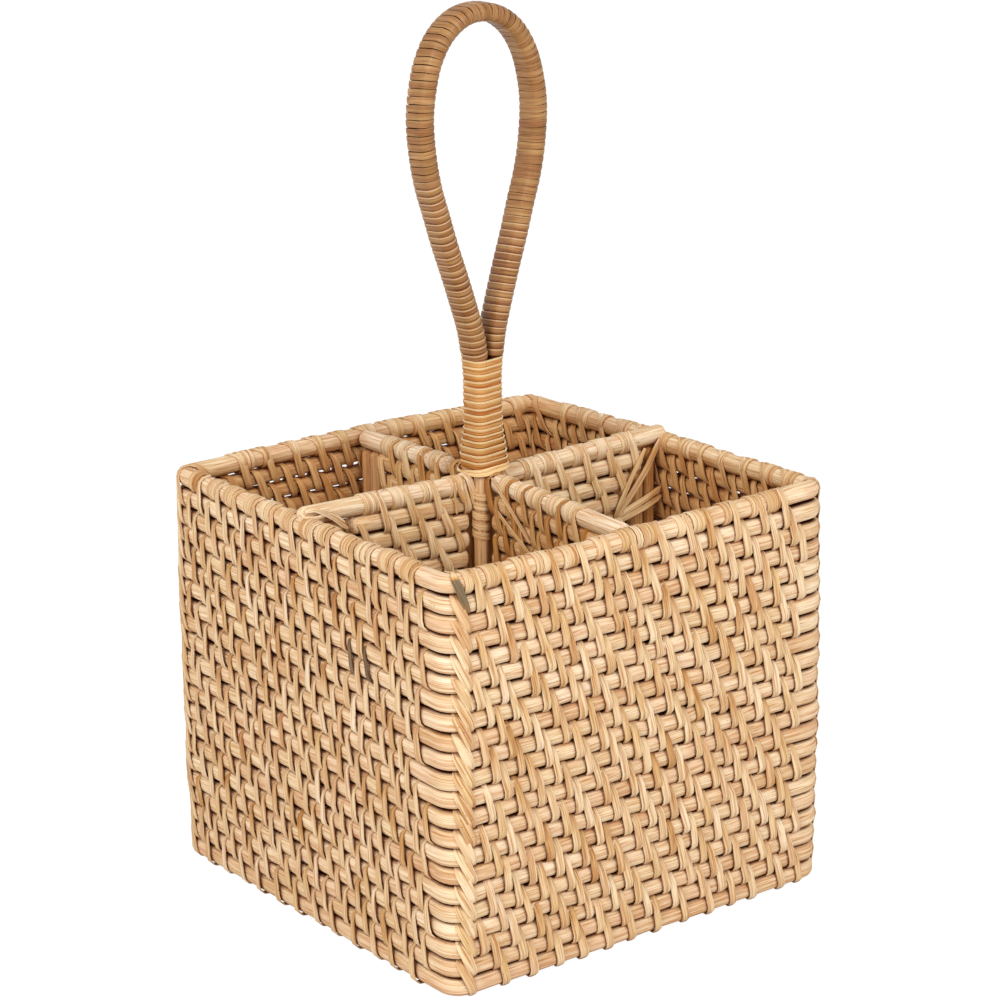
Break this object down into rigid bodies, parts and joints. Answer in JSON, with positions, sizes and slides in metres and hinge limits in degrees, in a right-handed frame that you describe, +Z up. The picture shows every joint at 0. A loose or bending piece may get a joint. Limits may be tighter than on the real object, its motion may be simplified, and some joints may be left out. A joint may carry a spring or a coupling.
{
  "type": "cutlery holder",
  "caption": "Square lashed-rattan cutlery holder with crossed dividers and a tall bound loop handle rising from the middle.",
  "frame": {"origin": "middle of the square underside, on the table", "axes": "+Z up, +X along the wall that the handle's broad face is parallel to, +Y from the front wall to the back wall"},
  "size_m": [0.1678, 0.1678, 0.314],
  "materials": {
    "rattan_core": "natural, dry and lightly sanded",
    "rattan_peel": "natural, satin skin side out"
  },
  "bodies": {
    "root": {"base_rod": "rattan_core", "divider_back": "rattan_core", "divider_back_inner_stake": "rattan_core", "divider_back_outer_stake": "rattan_core", "divider_back_top_rod": "rattan_core", "divider_front": "rattan_core", "divider_front_inner_stake": "rattan_core", "divider_front_outer_stake": "rattan_core", "divider_front_top_rod": "rattan_core", "divider_left": "rattan_core", "divider_left_inner_stake": "rattan_core", "divider_left_outer_stake": "rattan_core", "divider_left_top_rod": "rattan_core", "divider_right": "rattan_core", "divider_right_inner_stake": "rattan_core", "divider_right_outer_stake": "rattan_core", "divider_right_top_rod": "rattan_core", "handle_collar": "rattan_peel", "handle_loop_winding": "rattan_peel", "handle_neck_winding": "rattan_peel", "handle_rod_back": "rattan_core", "handle_rod_front": "rattan_core", "rim_rod": "rattan_core", "wall_rod_01": "rattan_core", "wall_rod_02": "rattan_core", "wall_rod_03": "rattan_core", "wall_rod_04": "rattan_core", "wall_rod_05": "rattan_core", "wall_rod_06": "rattan_core", "wall_rod_07": "rattan_core", "wall_rod_08": "rattan_core", "wall_rod_09": "rattan_core", "wall_rod_10": "rattan_core", "wall_rod_11": "rattan_core", "wall_rod_12": "rattan_core", "wall_rod_13": "rattan_core", "wall_rod_14": "rattan_core", "wall_rod_15": "rattan_core", "wall_rod_16": "rattan_core", "wall_rod_17": "rattan_core", "wall_rod_18": "rattan_core", "wall_rod_19": "rattan_core", "wall_rod_20": "rattan_core", "wall_rod_21": "rattan_core"}
  },
  "joints": []
}
